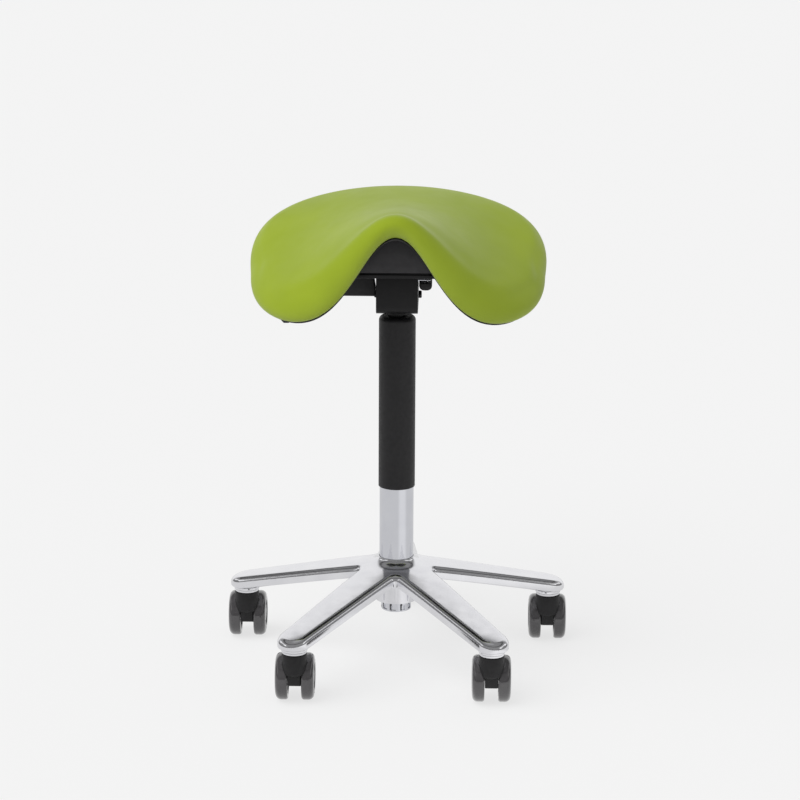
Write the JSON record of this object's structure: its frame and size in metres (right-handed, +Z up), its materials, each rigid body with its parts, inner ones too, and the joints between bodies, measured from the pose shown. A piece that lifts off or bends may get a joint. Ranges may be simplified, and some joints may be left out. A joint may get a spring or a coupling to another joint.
{
  "type": "saddle stool",
  "caption": "Height-adjustable saddle stool with an arched padded seat, a tilting mechanism, a gas column and a star base on twin-wheel castors.",
  "frame": {"origin": "on the floor, under the middle of the whole stool's box", "axes": "+Z up, the front of the seat (its pommel) towards -Y, the user's right towards +X"},
  "size_m": [0.5106, 0.5102, 0.7025],
  "materials": {
    "polished_aluminium": "cast and polished to a soft mirror",
    "chromed_steel": "bright chrome plate",
    "zinc_steel": "clear zinc plate",
    "black_paint": "satin black powder coat",
    "black_plastic": "fine-grained black nylon",
    "wheel_plastic": "smooth dark grey polyurethane and nylon",
    "bearing_plastic": "natural acetal",
    "shell_plastic": "charcoal moulded plastic",
    "green_vinyl": "smooth lime green upholstery vinyl"
  },
  "bodies": {
    "base": {"star_base": "polished_aluminium", "column_tube": "chromed_steel", "guide_bush": "bearing_plastic", "bearing_washer_lower": "zinc_steel", "thrust_bearing": "bearing_plastic", "caster_collar_1": "polished_aluminium", "caster_collar_2": "polished_aluminium", "caster_collar_3": "polished_aluminium", "caster_collar_4": "polished_aluminium", "caster_collar_5": "polished_aluminium", "caster_stem_1": "zinc_steel", "caster_stem_2": "zinc_steel", "caster_stem_3": "zinc_steel", "caster_stem_4": "zinc_steel", "caster_stem_5": "zinc_steel"},
    "column": {"piston_rod": "chromed_steel", "bearing_washer_upper": "zinc_steel", "retaining_clip": "zinc_steel"},
    "lift": {"gas_cylinder": "black_paint", "column_sleeve": "black_plastic", "taper_socket": "zinc_steel", "tilt_housing": "black_paint", "tilt_pivot_pin": "black_paint"},
    "release": {"release_pin": "zinc_steel"},
    "seat": {"seat_carrier": "black_paint", "seat_bridge": "shell_plastic", "seat_shell": "shell_plastic", "seat_cushion": "green_vinyl", "mounting_screw_1": "zinc_steel", "mounting_screw_2": "zinc_steel", "mounting_screw_3": "zinc_steel", "mounting_screw_4": "zinc_steel"},
    "height_lever": {"height_lever_arm": "zinc_steel", "height_lever_grip": "black_plastic"},
    "tilt_lever": {"tilt_lever_rod": "chromed_steel", "tilt_lever_washer": "zinc_steel", "tilt_lever_grip": "black_plastic"},
    "caster_1": {"caster_hood_1": "black_plastic", "caster_axle_1": "zinc_steel"},
    "wheel_right_1": {"caster_wheel_right_1": "wheel_plastic"},
    "wheel_left_1": {"caster_wheel_left_1": "wheel_plastic"},
    "caster_2": {"caster_hood_2": "black_plastic", "caster_axle_2": "zinc_steel"},
    "wheel_right_2": {"caster_wheel_right_2": "wheel_plastic"},
    "wheel_left_2": {"caster_wheel_left_2": "wheel_plastic"},
    "caster_3": {"caster_hood_3": "black_plastic", "caster_axle_3": "zinc_steel"},
    "wheel_right_3": {"caster_wheel_right_3": "wheel_plastic"},
    "wheel_left_3": {"caster_wheel_left_3": "wheel_plastic"},
    "caster_4": {"caster_hood_4": "black_plastic", "caster_axle_4": "zinc_steel"},
    "wheel_right_4": {"caster_wheel_right_4": "wheel_plastic"},
    "wheel_left_4": {"caster_wheel_left_4": "wheel_plastic"},
    "caster_5": {"caster_hood_5": "black_plastic", "caster_axle_5": "zinc_steel"},
    "wheel_right_5": {"caster_wheel_right_5": "wheel_plastic"},
    "wheel_left_5": {"caster_wheel_left_5": "wheel_plastic"}
  },
  "joints": [
    {"name": "caster_swivel_1", "type": "hinge", "parent": "base", "child": "caster_1", "pos_m": [0, 0.20118, 0.06], "axis": [0, 0, 1], "continuous": true},
    {"name": "wheel_right_spin_1", "type": "hinge", "parent": "caster_1", "child": "wheel_right_1", "pos_m": [0, 0.22118, 0.034], "axis": [1, 0, 0], "continuous": true},
    {"name": "wheel_left_spin_1", "type": "hinge", "parent": "caster_1", "child": "wheel_left_1", "pos_m": [0, 0.22118, 0.034], "axis": [1, 0, 0], "continuous": true},
    {"name": "caster_swivel_2", "type": "hinge", "parent": "base", "child": "caster_2", "pos_m": [-0.2273, 0.03603, 0.06], "axis": [0, 0, 1], "continuous": true},
    {"name": "wheel_right_spin_2", "type": "hinge", "parent": "caster_2", "child": "wheel_right_2", "pos_m": [-0.2273, 0.05603, 0.034], "axis": [1, 0, 0], "continuous": true},
    {"name": "wheel_left_spin_2", "type": "hinge", "parent": "caster_2", "child": "wheel_left_2", "pos_m": [-0.2273, 0.05603, 0.034], "axis": [1, 0, 0], "continuous": true},
    {"name": "caster_swivel_3", "type": "hinge", "parent": "base", "child": "caster_3", "pos_m": [-0.14048, -0.23118, 0.06], "axis": [0, 0, 1], "continuous": true},
    {"name": "wheel_right_spin_3", "type": "hinge", "parent": "caster_3", "child": "wheel_right_3", "pos_m": [-0.14048, -0.21118, 0.034], "axis": [1, 0, 0], "continuous": true},
    {"name": "wheel_left_spin_3", "type": "hinge", "parent": "caster_3", "child": "wheel_left_3", "pos_m": [-0.14048, -0.21118, 0.034], "axis": [1, 0, 0], "continuous": true},
    {"name": "caster_swivel_4", "type": "hinge", "parent": "base", "child": "caster_4", "pos_m": [0.14048, -0.23118, 0.06], "axis": [0, 0, 1], "continuous": true},
    {"name": "wheel_right_spin_4", "type": "hinge", "parent": "caster_4", "child": "wheel_right_4", "pos_m": [0.14048, -0.21118, 0.034], "axis": [1, 0, 0], "continuous": true},
    {"name": "wheel_left_spin_4", "type": "hinge", "parent": "caster_4", "child": "wheel_left_4", "pos_m": [0.14048, -0.21118, 0.034], "axis": [1, 0, 0], "continuous": true},
    {"name": "caster_swivel_5", "type": "hinge", "parent": "base", "child": "caster_5", "pos_m": [0.2273, 0.03603, 0.06], "axis": [0, 0, 1], "continuous": true},
    {"name": "wheel_right_spin_5", "type": "hinge", "parent": "caster_5", "child": "wheel_right_5", "pos_m": [0.2273, 0.05603, 0.034], "axis": [1, 0, 0], "continuous": true},
    {"name": "wheel_left_spin_5", "type": "hinge", "parent": "caster_5", "child": "wheel_left_5", "pos_m": [0.2273, 0.05603, 0.034], "axis": [1, 0, 0], "continuous": true},
    {"name": "column_swivel", "type": "hinge", "parent": "base", "child": "column", "pos_m": [0, -0.03782, 0.095], "axis": [0, 0, 1], "continuous": true},
    {"name": "seat_lift", "type": "slide", "parent": "column", "child": "lift", "axis": [0, 0, 1], "range_m": [-0.1, 0.095]},
    {"name": "seat_tilt", "type": "hinge", "parent": "lift", "child": "seat", "pos_m": [0, -0.00382, 0.548], "axis": [1, 0, 0], "range_deg": [-5, 9]},
    {"name": "height_lever_lift", "type": "hinge", "parent": "lift", "child": "height_lever", "pos_m": [-0.0285, -0.03782, 0.5645], "axis": [0, 1, 0], "range_deg": [0, 7.5], "stiffness_Nm_per_rad": 1.5, "springref_deg": -2.86},
    {"name": "release_press", "type": "slide", "parent": "lift", "child": "release", "axis": [0, 0, 1], "range_m": [-0.0042, 0]},
    {"name": "tilt_lever_turn", "type": "hinge", "parent": "lift", "child": "tilt_lever", "pos_m": [0.0395, -0.05982, 0.582], "axis": [1, 0, 0], "range_deg": [0, 20]}
  ],
  "couplings": [
    {"joint": "release_press", "follows": "height_lever_lift", "m_per_rad": -0.032}
  ]
}
